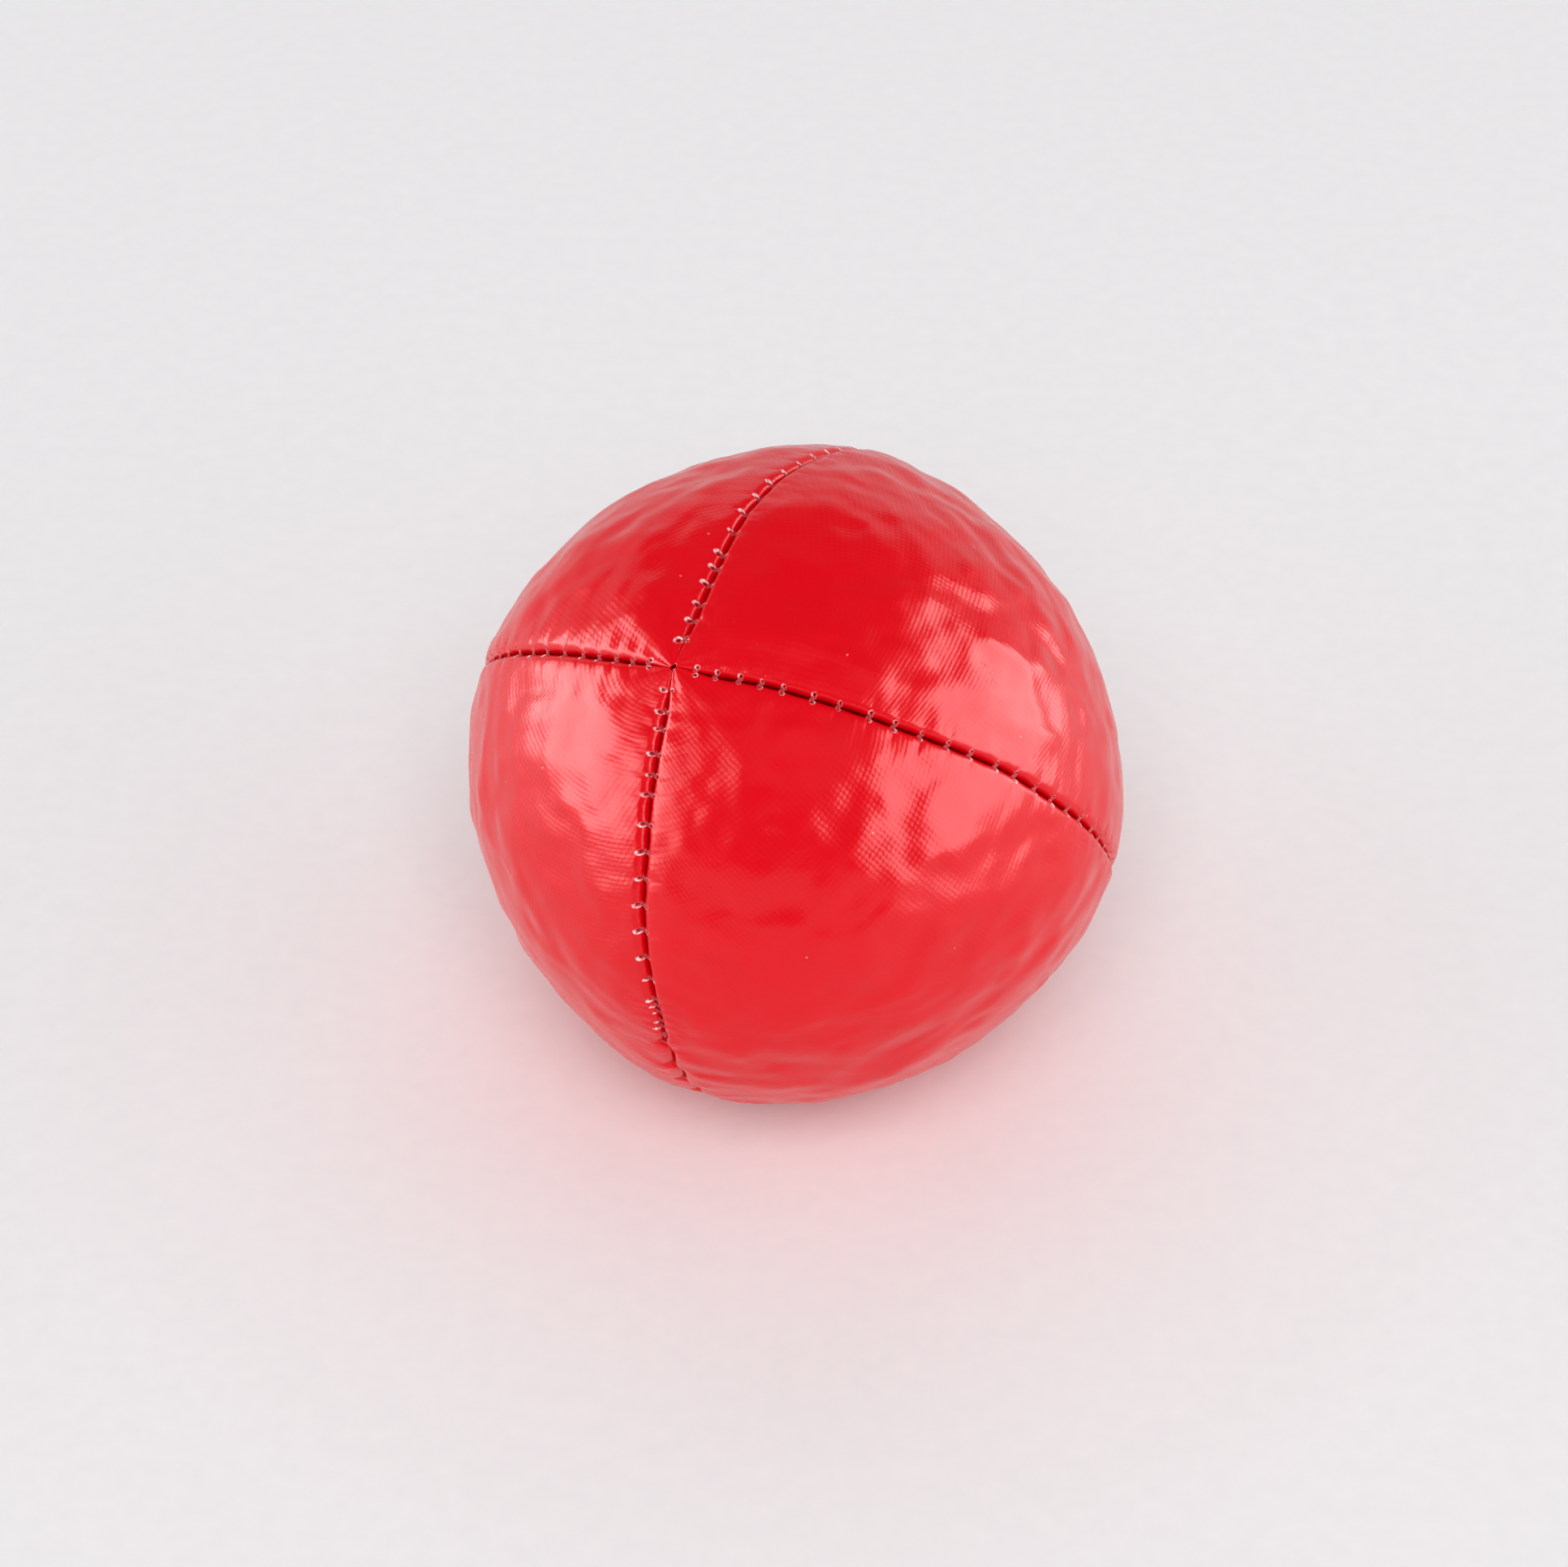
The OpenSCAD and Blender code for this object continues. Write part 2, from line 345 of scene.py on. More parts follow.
def edge_places(turns, seam, away, depth):
    """Distance from the seam plane and depth under the surface, row by row."""
    sine = np.sin(np.radians(turns))
    scale = np.clip(SEAM_R * sine * math.sqrt(0.5) / FULL_EDGE, 0, 1)[:, None]
    gap = crease_gap(seam, turns)[:, None]
    return (gap + away) * scale, depth * scale


def full_grid(turns, half_seam, main_seam, away, depth, middle):
    """Angle round the pole from the half seam, and depth, for each row and column."""
    sine = SEAM_R * np.sin(np.radians(turns))[:, None]
    half_away, half_depth = edge_places(turns, half_seam, away, depth)
    main_away, main_depth = edge_places(turns, main_seam, away, depth)
    reach_a = sine - half_depth * np.sin(np.radians(turns))[:, None]
    reach_b = sine - main_depth * np.sin(np.radians(turns))[:, None]
    round_a = np.arcsin(np.clip(half_away / reach_a, 0, 0.70))
    round_b = math.pi / 2 - np.arcsin(np.clip(main_away / reach_b, 0, 0.70))[:, ::-1]
    share = np.linspace(0, 1, middle + 2)[None, 1:-1]
    between = round_a[:, -1:] * (1 - share) + round_b[:, :1] * share
    level = half_depth[:, -1:] * (1 - share) + main_depth[:, -1:] * share
    return (
        np.concatenate([round_a, between, round_b], 1),
        np.concatenate([half_depth, level, main_depth[:, ::-1]], 1),
    )


def on_floor(points, soft=0.35):
    """Presses what would be under the floor flat onto it."""
    out = points.copy()
    out[..., 2] = 0.5 * (points[..., 2] + np.sqrt(points[..., 2] ** 2 + soft ** 2))
    return out


def panel_points(name, sx, sy, turns, round_pole, depth, detail):
    """Floor-frame points in mm of a grid on a panel, and where the stitch holes are."""
    half_seam = "right" if sx > 0 else "left"
    main_seam = "top" if sy > 0 else "bottom"
    turn = np.repeat(turns[:, None], round_pole.shape[1], 1)
    polar = np.radians(turn)
    n = np.stack(
        [sx * np.sin(polar) * np.cos(round_pole), sy * np.sin(polar) * np.sin(round_pole), np.cos(polar)], -1
    )
    from_half = np.abs(n[..., 1]) * SEAM_R
    from_main = np.abs(n[..., 0]) * SEAM_R
    away = np.minimum(from_half, from_main)
    size = np.clip(SEAM_R * np.sin(polar) * math.sqrt(0.5) / FULL_EDGE, 0, 1)
    radius = ball_radius(n) - depth + seed_lumps(n, away)
    holes = np.zeros(turn.shape + (3,))
    if detail:
        half_side = 0 if sy < 0 else 1
        main_side = 0 if sx < 0 else 1
        relief = seam_relief(half_seam, half_side, turn, from_half)
        relief = relief + seam_relief(main_seam, main_side, turn, from_main)
        radius = radius + relief * (1 - ease(1.1, 2.0, depth)) * size
        radius = radius + folds(name, turn, from_half, from_main)
        near_half = hole_place(half_seam, half_side, turn, from_half)
        near_main = hole_place(main_seam, main_side, turn, from_main)
        pick = from_half < from_main
        beside, outward, low, active = [np.where(pick, a, b) for a, b in zip(near_half, near_main)]
        active = active * (1 - ease(0.8, 1.3, depth)) * ease(2, 3, turn)
        holes = np.stack([beside, outward, active * (0.3 + 0.7 * low)], -1)
    points = n * radius[..., None]
    fade_half = np.exp(-(from_half / 4.5) ** 2)
    fade_main = np.exp(-(from_main / 4.5) ** 2)
    points[..., 1] += seam_shift(half_seam, turn) * fade_half
    points[..., 0] += seam_shift(main_seam, turn) * fade_main
    return on_floor(laid_down(points)), holes


def build_panel(name, sx, sy):
    """One panel as a closed sheet of two faces."""
    half_seam = "right" if sx > 0 else "left"
    main_seam = "top" if sy > 0 else "bottom"
    turns = np.linspace(TIP_TURN, 180 - TIP_TURN, ROWS)
    round_pole, depth = full_grid(turns, half_seam, main_seam, EDGE_AWAY, EDGE_DEPTH, MIDDLE_COLUMNS)
    outer, holes = panel_points(name, sx, sy, turns, round_pole, depth, True)
    in_turns = turns[::ROW_STEP]
    in_round, in_depth = full_grid(in_turns, half_seam, main_seam, INNER_AWAY, INNER_DEPTH, INNER_MIDDLE)
    middle = slice(len(INNER_AWAY), len(INNER_AWAY) + INNER_MIDDLE)
    in_depth[:, middle] = np.maximum(in_depth[:, middle], CLOTH_T * 0.5)
    inner, _ = panel_points(name, sx, sy, in_turns, in_round, in_depth, False)
    inner[..., 2] = np.maximum(inner[..., 2], CLOTH_T)
    columns, in_columns, in_rows = outer.shape[1], inner.shape[1], len(in_turns)
    base = ROWS * columns
    flip = sx * sy < 0

    def ordered(face):
        return face[::-1] if flip else face

    faces = []
    grid = np.arange(base).reshape(ROWS, columns)
    quads = np.stack([grid[:-1, :-1], grid[1:, :-1], grid[1:, 1:], grid[:-1, 1:]], -1).reshape(-1, 4)
    faces += [ordered(list(q)) for q in quads.tolist()]
    back = base + np.arange(in_rows * in_columns).reshape(in_rows, in_columns)
    quads = np.stack([back[:-1, :-1], back[:-1, 1:], back[1:, 1:], back[1:, :-1]], -1).reshape(-1, 4)
    faces += [ordered(list(q)) for q in quads.tolist()]
    for i in range(in_rows - 1):
        run = list(range(i * ROW_STEP, (i + 1) * ROW_STEP + 1))
        left = [int(grid[r, 0]) for r in run][::-1] + [int(back[i, 0]), int(back[i + 1, 0])]
        right = [int(grid[r, -1]) for r in run] + [int(back[i + 1, -1]), int(back[i, -1])]
        faces += [ordered(left), ordered(right)]
    faces.append(ordered([int(x) for x in grid[0]] + [int(x) for x in back[0][::-1]]))
    faces.append(ordered([int(x) for x in grid[-1][::-1]] + [int(x) for x in back[-1]]))
    points = np.concatenate([outer.reshape(-1, 3), inner.reshape(-1, 3)]) * MM
    mesh = bpy.data.meshes.new(name + "_cloth")
    mesh.from_pydata(points.tolist(), [], faces)
    mesh.update()
    mesh.shade_smooth()
    across = (round_pole - math.pi / 4) * SEAM_R * np.sin(np.radians(turns))[:, None]
    down = np.repeat(np.radians(turns)[:, None] * SEAM_R, columns, 1)
    bias = math.radians(WEAVE_TURN[name])
    across, down = (
        across * math.cos(bias) - down * math.sin(bias),
        across * math.sin(bias) + down * math.cos(bias),
    )
    weave_at = np.stack([across, down, down * 0 + (sx + 3 * sy)], -1).reshape(-1, 3)
    spare = np.zeros((len(points) - base, 3))
    for label, places in (("weave_at", weave_at), ("hole_at", holes.reshape(-1, 3))):
        layer = mesh.attributes.new(label, "FLOAT_VECTOR", "POINT")
        layer.data.foreach_set("vector", np.concatenate([places, spare]).astype(np.float32).ravel())
    made = bpy.data.objects.new(name + "_sewn", mesh)
    bpy.context.scene.collection.objects.link(made)
    print(made.name, len(faces), "faces")
    return made


# %% [markdown]
# Each panel fills one quarter between a half seam and the main seam. The two signs say which
# side of X = 0 and of Y = 0 it lies on.

# %% Make the four panels
PANELS = {"panel_front": (1, -1), "panel_right": (1, 1), "panel_back": (-1, 1), "panel_left": (-1, -1)}
panels = {name: build_panel(name, sx, sy) for name, (sx, sy) in PANELS.items()}

# %% [markdown]
# ## Thread
# A lockstitch has two threads. Each runs along its own side of the seam allowance and dips
# through every hole to meet the other in the crease, so a short bar of thread shows there.
# Each is one swept tube with the slow ridges of a twisted thread.

# %% Swept thread
THREAD_R = 0.13
THREAD_SIDES = 8
STRAND_RIDGE = 0.14
STRAND_TURN = 5.2


def smooth_path(points, step):
    """Evenly spaced points along a rounded path through the given ones."""
    points = np.asarray(points, float)
    before = np.vstack([2 * points[0] - points[1], points[:-1]])
    after = np.vstack([points[1:], 2 * points[-1] - points[-2]])
    slope = (after - before) / 2
    fine = []
    for i in range(len(points) - 1):
        pieces = max(2, int(np.linalg.norm(points[i + 1] - points[i]) / step))
        t = np.linspace(0, 1, pieces, endpoint=False)[:, None]
        fine.append(
            (2 * t ** 3 - 3 * t ** 2 + 1) * points[i]
            + (t ** 3 - 2 * t ** 2 + t) * slope[i]
            + (3 * t ** 2 - 2 * t ** 3) * points[i + 1]
            + (t ** 3 - t ** 2) * slope[i + 1]
        )
    return np.vstack(fine + [points[-1:]])


def swept(name, paths, radius, step=0.16):
    """One object of tubes along paths given in mm in the floor frame."""
    all_points, faces, along_all = [], [], []
    start = 0
    for path in paths:
        path = smooth_path(path, step)
        path[:, 2] = np.maximum(path[:, 2], radius)
        tangent = np.gradient(path, axis=0)
        tangent /= np.linalg.norm(tangent, axis=1)[:, None] + 1e-9
        side = np.cross(tangent[0], [0.31, 0.52, 0.79])
        sides = []
        for t in tangent:
            side = side - t * (side @ t)
            side = side / (np.linalg.norm(side) + 1e-9)
            sides.append(side)
        side = np.array(sides)
        other = np.cross(tangent, side)
        gone = np.concatenate([[0], np.cumsum(np.linalg.norm(np.diff(path, axis=0), axis=1))])
        angle = np.linspace(0, 2 * math.pi, THREAD_SIDES, endpoint=False)[None, :]
        ridge = 1 + STRAND_RIDGE * np.cos(2 * angle - STRAND_TURN * gone[:, None])
        ends = np.minimum(ease(-0.02, radius, gone), ease(-0.02, radius, gone[-1] - gone))[:, None]
        reach = (radius * ridge * (0.35 + 0.65 * ends))[..., None]
        ring = path[:, None] + reach * (
            np.cos(angle)[..., None] * side[:, None] + np.sin(angle)[..., None] * other[:, None]
        )
        rings = len(path)
        grid = start + np.arange(rings * THREAD_SIDES).reshape(rings, THREAD_SIDES)
        turned = np.roll(grid, -1, 1)
        quads = np.stack([grid[:-1], turned[:-1], turned[1:], grid[1:]], -1).reshape(-1, 4)
        faces += quads.tolist()
        faces += [grid[0][::-1].tolist(), grid[-1].tolist()]
        all_points.append(ring.reshape(-1, 3))
        along_all.append(np.repeat(gone, THREAD_SIDES))
        start += rings * THREAD_SIDES
    mesh = bpy.data.meshes.new(name + "_mesh")
    mesh.from_pydata((np.vstack(all_points) * MM).tolist(), [], faces)
    mesh.update()
    mesh.shade_smooth()
    layer = mesh.attributes.new("thread_at", "FLOAT", "POINT")
    layer.data.foreach_set("value", np.concatenate(along_all).astype(np.float32))
    made = bpy.data.objects.new(name, mesh)
    bpy.context.scene.collection.objects.link(made)
    print(name, len(faces), "faces,", round(float(sum(a.max() for a in along_all)), 1), "mm of thread")
    return made


# %% [markdown]
# A point on a seam is given by how far down the seam it is, how far across and how deep.
# Across is positive towards +X for the main seam and towards +Y for the half seams.

# %% Points along a seam


def seam_point(seam, turn, across, depth):
    """Floor-frame point in mm beside a seam."""
    polar = math.radians(turn)
    drop = PANEL_DROP * (2 * min(1.0, abs(across) / SEAM_R) * math.sin(polar)) ** 0.85
    radius = SEAM_R - drop - depth
    shift = float(seam_shift(seam, np.array([turn]))[0])
    wide = across + shift
    along = {"bottom": (0, -1), "top": (0, 1), "right": (1, 0), "left": (-1, 0)}[seam]
    point = np.array([along[0] * math.sin(polar), along[1] * math.sin(polar), math.cos(polar)]) * radius
    if seam in ("bottom", "top"):
        point[0] += wide
    else:
        point[1] += wide
    n = point / np.linalg.norm(point)
    lumps = float(seed_lumps(n[None], np.array([abs(across)]))[0])
    return laid_down(point + n * lumps)


# All in mm: how far a bar leans along the seam, how long half a dip is, and where the
# thread runs between two dips.
LIFT = 0.11
HALF_STEP = 0.42
RUN_AWAY, RUN_DEPTH = 1.22, 2.1


def lock_path(seam, side, first=0.0, last=180.0):
    """Path of one thread of a lockstitch along a seam; side is -1 or 1 across it."""
    path = []
    for turn, hand in zip(SEAMS[seam]["turn"], SEAMS[seam]["hand"]):
        thin = min(1.0, SEAM_R * math.sin(math.radians(turn)) * math.sqrt(0.5) / FULL_EDGE)
        if hand or thin < 0.3 or not first < turn < last:
            continue
        near = math.degrees(LIFT * side / SEAM_R)
        step = math.degrees(HALF_STEP / SEAM_R)
        inside = side * RUN_AWAY * thin
        path += [
            seam_point(seam, turn - step, inside, RUN_DEPTH * thin),
            seam_point(seam, turn - near * 2.2, side * 0.80 * thin, 1.25 * thin),
            seam_point(seam, turn - near * 1.6, side * 0.50 * thin, 0.86 * thin),
            seam_point(seam, turn + near, -side * 0.02, 0.98 * thin),
            seam_point(seam, turn + near * 2.6, side * 0.45 * thin, 0.92 * thin),
            seam_point(seam, turn + near * 2.8, side * 0.80 * thin, 1.35 * thin),
            seam_point(seam, turn + step, inside, RUN_DEPTH * thin),
        ]
    return path


# %% [markdown]
# The half seams run from pole to pole. The main seam goes down one side of the ball and up the
# other as one long thread, broken only where the filling gap was left open.

# %% Thread of the machine seams
threads = {}
for seam in ("right", "left"):
    for side, label in ((1, "needle"), (-1, "bobbin")):
        piece = f"{seam}_seam_{label}_thread"
        threads[piece] = swept(piece + "_sewn", [lock_path(seam, side)], THREAD_R)
for side, label in ((1, "needle"), (-1, "bobbin")):
    piece = f"main_seam_{label}_thread"
    upper = lock_path("bottom", side, last=HAND_TURNS[0])
    lower = lock_path("bottom", side, first=HAND_TURNS[-1])
    top = lock_path("top", side)
    threads[piece] = swept(piece + "_sewn", [upper[::-1] + top + lower[::-1]], THREAD_R)

# %% [markdown]
# The gap that the seed went in through is shut with a ladder stitch: the thread crosses
# from one folded edge to the other, runs inside the fold, and crosses back. A small knot
# sits at each end, with a short cut tail.

# %% Closing thread
ladder = []
for index, turn in enumerate(HAND_TURNS):
    step = math.degrees(1.3 / SEAM_R)
    side = -1 if index % 2 else 1
    ladder += [
        seam_point("bottom", turn - step, -side * 1.2, 1.9),
        seam_point("bottom", turn - step * 0.3, -side * 0.6, 1.05),
        seam_point("bottom", turn, 0.0, 0.85),
        seam_point("bottom", turn + step * 0.3, side * 0.6, 1.05),
        seam_point("bottom", turn + step, side * 1.2, 1.9),
    ]


KNOT_POINTS = 26
KNOT_STEP = 0.66


def knot(turn):
    """A small overhand knot as a closed-up loop of thread."""
    centre = seam_point("bottom", turn, 0.0, 0.75)
    out = (centre - CENTRE) / np.linalg.norm(centre - CENTRE)
    one = np.cross(out, [0.2, 0.9, 0.3])
    one /= np.linalg.norm(one)
    two = np.cross(out, one)
    path = []
    for i in range(KNOT_POINTS):
        a = i * KNOT_STEP
        flat = math.cos(a) * one + math.sin(2 * a) * 0.7 * two
        path.append(centre + 0.30 * flat + 0.16 * math.sin(3 * a) * out)
    path.append(centre + 0.9 * two + 0.30 * out)
    path.append(centre + 1.35 * two + 0.5 * one + 0.42 * out)
    return path


ends = [knot(HAND_TURNS[0] - 3.4), knot(HAND_TURNS[-1] + 2.4)]
threads["closing_thread"] = swept("closing_thread_sewn", [ladder] + ends, THREAD_R)

# %% [markdown]
# ## The filling
# Seed fills the ball to the cloth. Nobody sees it, yet its outside is a packed layer of round
# seeds: each point of a sphere rises to the nearest seed, and grooves leave room for the
# seam allowances.

# %% Seed filling
SEED_R = 1.15
SEED_LAYER_R = 30.5
GROOVE_DEPTH = 4.9
FILL_CLEAR = 0.55
FILL_ROWS, FILL_COLUMNS = 220, 400
seed_rng = np.random.RandomState(23)
golden = math.pi * (3 - math.sqrt(5))
SEEDS = 3000
order = np.arange(SEEDS)
z = 1 - (2 * order + 1) / SEEDS
flat = np.sqrt(1 - z * z)
seed_way = np.stack([flat * np.cos(order * golden), flat * np.sin(order * golden), z], -1)
seed_way += seed_rng.normal(0, 0.009, seed_way.shape)
seed_way /= np.linalg.norm(seed_way, axis=1)[:, None]
tree = KDTree(SEEDS)
for index, way in enumerate(seed_way):
    tree.insert(Vector(way), index)
tree.balance()
turns = np.linspace(0.4, 179.6, FILL_ROWS)
rounds = np.linspace(0, 2 * math.pi, FILL_COLUMNS, endpoint=False)
polar, azimuth = np.meshgrid(np.radians(turns), rounds, indexing="ij")
n = np.stack([np.sin(polar) * np.cos(azimuth), np.sin(polar) * np.sin(azimuth), np.cos(polar)], -1)
gaps = np.array([tree.find(Vector(p))[2] for p in n.reshape(-1, 3)]).reshape(polar.shape)
gaps = gaps * SEED_LAYER_R
rise = np.sqrt(np.clip(SEED_R ** 2 - gaps ** 2, 0.05, None)) - SEED_R
from_seam = np.minimum(np.abs(n[..., 0]), np.abs(n[..., 1])) * SEAM_R
groove = GROOVE_DEPTH * (1 - ease(1.5, 2.9, from_seam))
radius = ball_radius(n) - CLOTH_T - FILL_CLEAR + rise - groove
filling_points = laid_down(n * radius[..., None])
filling_points[..., 2] = np.maximum(filling_points[..., 2], CLOTH_T + 0.1)
count = FILL_ROWS * FILL_COLUMNS
grid = np.arange(count).reshape(FILL_ROWS, FILL_COLUMNS)
turned = np.roll(grid, -1, 1)
faces = np.stack([grid[:-1], grid[1:], turned[1:], turned[:-1]], -1).reshape(-1, 4).tolist()
faces += [grid[0].tolist(), grid[-1][::-1].tolist()]
mesh = bpy.data.meshes.new("packed_seed")
mesh.from_pydata((filling_points.reshape(-1, 3) * MM).tolist(), [], faces)
mesh.update()
mesh.shade_smooth()
filling = bpy.data.objects.new("packed_seed_filling", mesh)
bpy.context.scene.collection.objects.link(filling)
print(filling.name, len(faces), "faces")

# %% [markdown]
# ## Shader maths in plain expressions
# Patterns such as a weave are sums and products of waves. This small class lets them be
# written as ordinary Python: each operator adds the Math node that does it.

# %% Shader helper


class Wire:
    """A shader socket that can be added, multiplied and so on."""

    def __init__(self, tree, socket):
        self.tree = tree
        self.socket = socket

    def _math(self, operation, *others):
        return node(self.tree, "ShaderNodeMath", {"operation": operation}, dict(enumerate((self,) + others)))

    def _turned(self, operation, other):
        return node(self.tree, "ShaderNodeMath", {"operation": operation}, {0: other, 1: self})

    def __add__(self, other):
        return self._math("ADD", other)

    __radd__ = __add__

    def __sub__(self, other):
        return self._math("SUBTRACT", other)

    def __rsub__(self, other):
        return self._turned("SUBTRACT", other)

    def __mul__(self, other):
        return self._math("MULTIPLY", other)

    def __pow__(self, other):
        return self._math("POWER", other)

    def sin(self):
        return self._math("SINE")

    def clamped(self):
        return node(self.tree, "ShaderNodeMath", {"operation": "ADD", "use_clamp": True}, {0: self, 1: 0.0})

    def between(self, low, high):
        return node(
            self.tree, "ShaderNodeMapRange", {"interpolation_type": "SMOOTHSTEP"},
            {"Value": self, "From Min": low, "From Max": high},
        )


def node(tree, kind, settings, values, output=0):
    """Adds a node; values are numbers, colours or wires by socket name or number."""
    made = tree.nodes.new(kind)
    for key, value in settings.items():
        setattr(made, key, value)
    for key, value in values.items():
        if isinstance(value, Wire):
            tree.links.new(value.socket, made.inputs[key])
        else:
            made.inputs[key].default_value = value
    return Wire(tree, made.outputs[output])


def blend(tree, share, one, two):
    """Mixes two colours by a wire or a number."""
    made = tree.nodes.new("ShaderNodeMix")
    made.data_type = "RGBA"
    for key, value in (("Factor_Float", share), ("A_Color", one), ("B_Color", two)):
        socket = next(s for s in made.inputs if s.identifier == key)
        if isinstance(value, Wire):
            tree.links.new(value.socket, socket)
        else:
            socket.default_value = value
    return Wire(tree, next(s for s in made.outputs if s.identifier == "Result_Color"))


def new_finish(name):
    """A material with an empty tree, its surface and its tree."""
    finish = bpy.data.materials.new(name)
    finish.use_nodes = True
    tree = finish.node_tree
    surface = tree.nodes["Principled BSDF"]
    return finish, tree, surface


def wire_in(tree, surface, **values):
    """Sets or links sockets of the surface; an underscore stands for a space."""
    for key, value in values.items():
        socket = surface.inputs[key.replace("_", " ")]
        if isinstance(value, Wire):
            tree.links.new(value.socket, socket)
        else:
            socket.default_value = value


def colour(red, green, blue):
    """An sRGB colour from 0 to 255 as the linear values that shaders use."""
    plain = [x / 255 for x in (red, green, blue)]
    return [x / 12.92 if x <= 0.04045 else ((x + 0.055) / 1.055) ** 2.4 for x in plain] + [1.0]


# %% [markdown]
# ## Coated cloth
# The panels are woven cloth under a soft glossy coat. The weave shows through as a fine
# grain in the highlights. Where a needle stretched the coat it has gone pale, and a painted
# glint is laid on those pale rims. The holes are darkened with painted shade. A few specks
# of dust lie on top.

# %% Coated cloth finish
coated, tree, surface = new_finish("coated_cloth")
place = node(tree, "ShaderNodeAttribute", {"attribute_name": "weave_at"}, {}, 1)
place_parts = node(tree, "ShaderNodeSeparateXYZ", {}, {0: place}).socket.node.outputs
across, down = [Wire(tree, place_parts[i]) for i in range(2)]
hole_at = node(tree, "ShaderNodeAttribute", {"attribute_name": "hole_at"}, {}, 1)
hole_parts = node(tree, "ShaderNodeSeparateXYZ", {}, {0: hole_at}).socket.node.outputs
beside, outward, shown = [Wire(tree, hole_parts[i]) for i in range(3)]
from_hole = (beside * beside + outward * outward) ** 0.5
WEAVE = 0.36
GRAIN_HEIGHT = 0.000013
warp_noise = node(tree, "ShaderNodeTexNoise", {}, {"Vector": place, "Scale": 1.1, "Detail": 2.0})
wave = math.pi / WEAVE
weave = (across * wave + warp_noise * 2.2).sin() * (down * wave + warp_noise * 1.6).sin()
grain = node(tree, "ShaderNodeTexNoise", {}, {"Vector": place, "Scale": 3.4, "Detail": 3.0})
cloud = node(tree, "ShaderNodeTexNoise", {}, {"Vector": place, "Scale": 0.16, "Detail": 3.0})
speck_at = node(
    tree, "ShaderNodeTexVoronoi", {"feature": "F1"}, {"Vector": place, "Scale": 0.22, "Randomness": 1.0}
)
specks = 1 - speck_at.between(0.012, 0.03)
RED = colour(228, 0, 21)
DEEP_RED = colour(218, 0, 18)
PALE = colour(255, 226, 229)
base = blend(tree, (cloud - 0.3).clamped() * 0.9, RED, DEEP_RED)
rim = from_hole.between(0.66, 0.88) * (1 - from_hole.between(1.15, 1.5))
# Painted shade: the inside of each stitch hole is darkened as if it lay in shadow.
inside = (1 - from_hole.between(0.55, 0.85)) * shown.between(0.05, 0.3)
ragged = node(tree, "ShaderNodeTexNoise", {}, {"Vector": place, "Scale": 6.0, "Detail": 2.0})
# The pale rim round each hole is partly stretched, whitened coat and partly a painted glint.
whitened_rim_and_glint = rim * shown.between(0.1, 1.0) * ragged.between(0.32, 0.58)
# The painted shade of the holes goes into the base colour here.
base = blend(tree, inside * 0.85, base, colour(110, 4, 18))
# Pale stretch marks with a painted glint on them go into the base colour here.
base = blend(tree, whitened_rim_and_glint, base, PALE)
base = blend(tree, specks * 0.5, base, colour(240, 190, 190))
height = weave * 0.5 + grain * 0.9
bump = node(tree, "ShaderNodeBump", {}, {"Strength": 1.0, "Distance": GRAIN_HEIGHT, "Height": height})
wire_in(
    tree, surface, Base_Color=base, Normal=bump,
    Roughness=(0.205 + grain * 0.03 + cloud * 0.045), IOR=1.5,
    Specular_IOR_Level=0.32,
)
for panel in panels.values():
    panel.data.materials.append(coated)

# %% [markdown]
# ## Look of the thread
# The thread is dull red-brown polyester, with fine fibres and a darker line along its twist.

# %% Thread finish
spun, tree, surface = new_finish("sewing_thread")
thread_at = node(tree, "ShaderNodeAttribute", {"attribute_name": "thread_at"}, {}, 2)
fibre = node(tree, "ShaderNodeTexNoise", {}, {"Scale": 5200.0, "Detail": 2.0})
twist = (thread_at * 9.0).sin() * 0.5 + 0.5
tone = blend(tree, fibre, colour(172, 12, 28), colour(216, 58, 64))
tone = blend(tree, twist * 0.3, tone, colour(110, 8, 20))
bump = node(tree, "ShaderNodeBump", {}, {"Strength": 0.6, "Distance": 0.00003, "Height": fibre})
wire_in(tree, surface, Base_Color=tone, Roughness=0.55 + fibre * 0.2, Normal=bump)
for thread in threads.values():
    thread.data.materials.append(spun)

# %% [markdown]
# ## Look of the seed
# The seed is pale straw, each grain a slightly different shade, with a darker eye here and
# there.

# %% Seed finish
grainy, tree, surface = new_finish("round_seed")
where = node(tree, "ShaderNodeTexCoord", {}, {}, 3)
mottle = node(tree, "ShaderNodeTexNoise", {}, {"Vector": where, "Scale": 420.0, "Detail": 3.0})
cells = node(tree, "ShaderNodeTexVoronoi", {}, {"Vector": where, "Scale": 430.0}, 1)
tint = node(tree, "ShaderNodeSeparateColor", {}, {0: cells})
tone = blend(tree, tint, colour(222, 190, 122), colour(186, 142, 74))
tone = blend(tree, mottle.between(0.55, 0.75) * 0.6, tone, colour(138, 92, 48))
bump = node(tree, "ShaderNodeBump", {}, {"Strength": 0.4, "Distance": 0.0001, "Height": mottle})
wire_in(tree, surface, Base_Color=tone, Roughness=0.42 + mottle * 0.2, Normal=bump)
filling.data.materials.append(grainy)

# %% [markdown]
# ## Tie each piece to the part
# Every piece rides on the part's one body and stands in for the solid that it shows.

for name, piece in panels.items():
    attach(piece, "root")
    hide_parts(name)
for name, piece in threads.items():
    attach(piece, "root")
    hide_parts(name)
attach(filling, "root")
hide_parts("seed_filling")

# %% [markdown]
# ## Floor
# The ball lies on a pale sweep that curves up behind it. Its paper has a very fine grain.

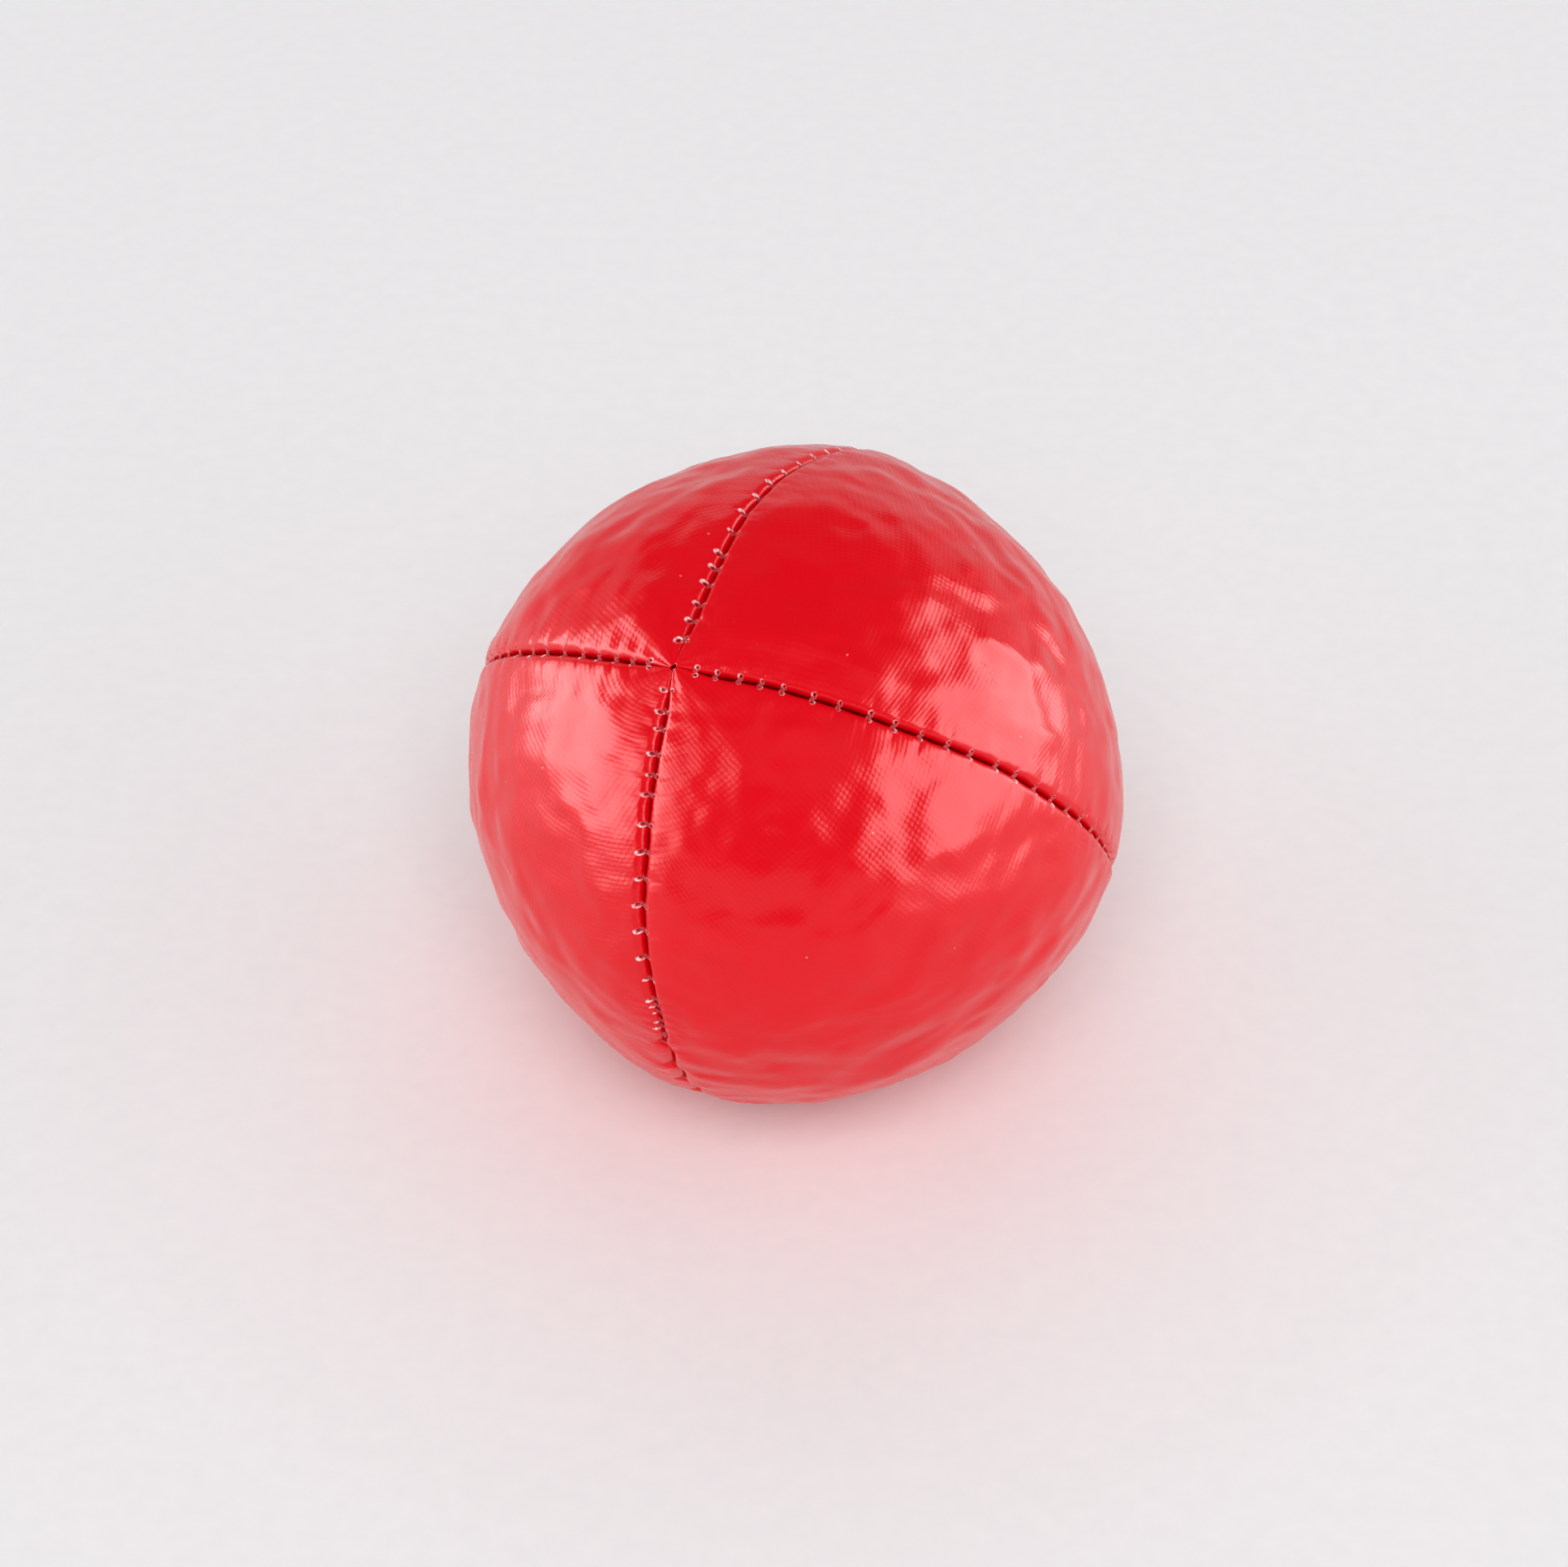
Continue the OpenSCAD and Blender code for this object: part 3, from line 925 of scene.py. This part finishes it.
# %% Pale sweep
SWEEP_HALF = 2.2
BACK_AT, BACK_RISE, BEND_R = 0.95, 0.62, 0.30
profile = [(-2.6, 0.0), (BACK_AT - BEND_R, 0.0)]
for i in range(1, 9):
    a = math.pi / 2 * i / 8
    profile.append((BACK_AT - BEND_R + BEND_R * math.sin(a), BEND_R * (1 - math.cos(a))))
profile.append((BACK_AT, BACK_RISE))
sweep_points = [(x, y, z) for y, z in profile for x in (-SWEEP_HALF, SWEEP_HALF)]
sweep_faces = [(2 * i, 2 * i + 1, 2 * i + 3, 2 * i + 2) for i in range(len(profile) - 1)]
mesh = bpy.data.meshes.new("pale_sweep")
mesh.from_pydata(sweep_points, [], sweep_faces)
mesh.shade_smooth()
sweep = bpy.data.objects.new("pale_sweep", mesh)
bpy.context.scene.collection.objects.link(sweep)
paper, tree, surface = new_finish("pale_paper")
where = node(tree, "ShaderNodeTexCoord", {}, {}, 3)
fleck = node(tree, "ShaderNodeTexNoise", {}, {"Vector": where, "Scale": 420.0, "Detail": 3.0})
tone = blend(tree, fleck, colour(236, 235, 237), colour(243, 242, 243))
bump = node(tree, "ShaderNodeBump", {}, {"Strength": 0.25, "Distance": 0.0002, "Height": fleck})
wire_in(tree, surface, Base_Color=tone, Roughness=0.62, Specular_IOR_Level=0.2, Normal=bump)
sweep.data.materials.append(paper)

# %% [markdown]
# ## Even light
# Part of the light comes evenly from all round. Neither it nor any lamp below shows in the
# gloss, so the top of the ball stays deep red.

# %% Even light
scene = bpy.context.scene
world = bpy.data.worlds.new("even_light")
scene.world = world
world.use_nodes = True
world.node_tree.nodes["Background"].inputs["Color"].default_value = (1.0, 0.995, 0.99, 1.0)
world.node_tree.nodes["Background"].inputs["Strength"].default_value = 0.38
world.cycles_visibility.glossy = False
scene.view_settings.view_transform = "Standard"


# %% [markdown]
# ## Softboxes
# Two low softboxes stand to the left and right and make the two long highlights and the soft
# shadows. A dim card at the front left adds a weak reflection. Each is a lamp that lights
# but does not show in the gloss, with a glowing face that shows but does not light.

# %% Softboxes


def facing_ball(made, at):
    """Stands a light or a plane upright at a place, turned to the ball."""
    made.location = at
    made.rotation_euler = Vector((-at.x, -at.y, 0)).to_track_quat("-Z", "Y").to_euler()
    scene.collection.objects.link(made)


def area_light(name, size, radiance):
    """A rectangle of light that shows in no reflection."""
    lamp = bpy.data.lights.new(name, "AREA")
    lamp.shape = "RECTANGLE"
    lamp.size, lamp.size_y = size
    lamp.energy = radiance * math.pi * size[0] * size[1]
    holder = bpy.data.objects.new(name, lamp)
    holder.visible_glossy = False
    print(name, round(lamp.energy, 2), "W")
    return holder


def softbox(name, azimuth, distance, size, lights, shines):
    """A panel of light beside the ball: how much it lights, and how bright it looks in the gloss."""
    width, height = size
    turn = math.radians(azimuth)
    at = Vector((distance * math.sin(turn), distance * math.cos(turn), 0.005 + height / 2))
    facing_ball(area_light(name, size, lights), at)
    mesh = bpy.data.meshes.new(name + "_face")
    corners = [(x * width / 2, y * height / 2, 0) for x, y in ((-1, -1), (1, -1), (1, 1), (-1, 1))]
    mesh.from_pydata(corners, [], [(0, 1, 2, 3)])
    face = bpy.data.objects.new(name + "_face", mesh)
    facing_ball(face, at)
    face.visible_camera = False
    face.visible_diffuse = False
    face.visible_shadow = False
    glow, tree, surface = new_finish(name + "_glow")
    wire_in(tree, surface, Base_Color=(0, 0, 0, 1), Emission_Color=(1, 1, 1, 1), Emission_Strength=shines)
    mesh.materials.append(glow)


softbox("left_softbox", -94, 0.60, (0.76, 0.36), 1.3, 9.0)
softbox("right_softbox", 101, 0.55, (1.05, 0.50), 0.8, 7.2)
softbox("front_card", -130, 0.80, (0.30, 0.70), 0.05, 3.4)

# %% [markdown]
# ## Light from the front
# A large soft lamp high at the front lights the near side of the ball and the floor.

# %% Soft light from the front
TOP_TURN = math.radians(51)
TOP_AWAY = 1.8
top_light = area_light("top_light", (1.0, 1.0), 4.9)
top_light.location = (0, -TOP_AWAY * math.cos(TOP_TURN), TOP_AWAY * math.sin(TOP_TURN))
top_light.rotation_euler = (-top_light.location).to_track_quat("-Z", "Y").to_euler()
scene.collection.objects.link(top_light)

# %% [markdown]
# ## Light from behind
# A narrow lamp behind the ball is aimed at the floor there and keeps it pale.

# %% Light from behind
BACK_PLACE, BACK_AIM = Vector((0, 0.45, 0.55)), Vector((0, 0.12, 0))
back_light = area_light("back_light", (0.70, 0.20), 1.25)
back_light.location = BACK_PLACE
back_light.rotation_euler = (BACK_AIM - BACK_PLACE).to_track_quat("-Z", "Y").to_euler()
scene.collection.objects.link(back_light)

# %% [markdown]
# ## Camera
# The view looks down at the ball from the front, with a long lens from about half a metre.

# %% Camera
ELEVATION = math.radians(42)
DISTANCE = 0.455
LENS, SENSOR = 105.1, 36.0
OFF_RIGHT, OFF_UP = -1.13 * MM, -1.01 * MM
eye = Vector((0, -math.cos(ELEVATION), math.sin(ELEVATION)))
right = Vector((1, 0, 0))
up = Vector((0, math.sin(ELEVATION), math.cos(ELEVATION)))
ball = Vector((0, 0, REST_HEIGHT * MM))
camera_data = bpy.data.cameras.new("front_view")
camera_data.lens = LENS
camera_data.sensor_width = SENSOR
camera_data.clip_start = 0.01
camera = bpy.data.objects.new("front_view", camera_data)
camera.location = ball + eye * DISTANCE + right * OFF_RIGHT + up * OFF_UP
camera.rotation_euler = (-eye).to_track_quat("-Z", "Y").to_euler()
scene.collection.objects.link(camera)
scene.camera = camera
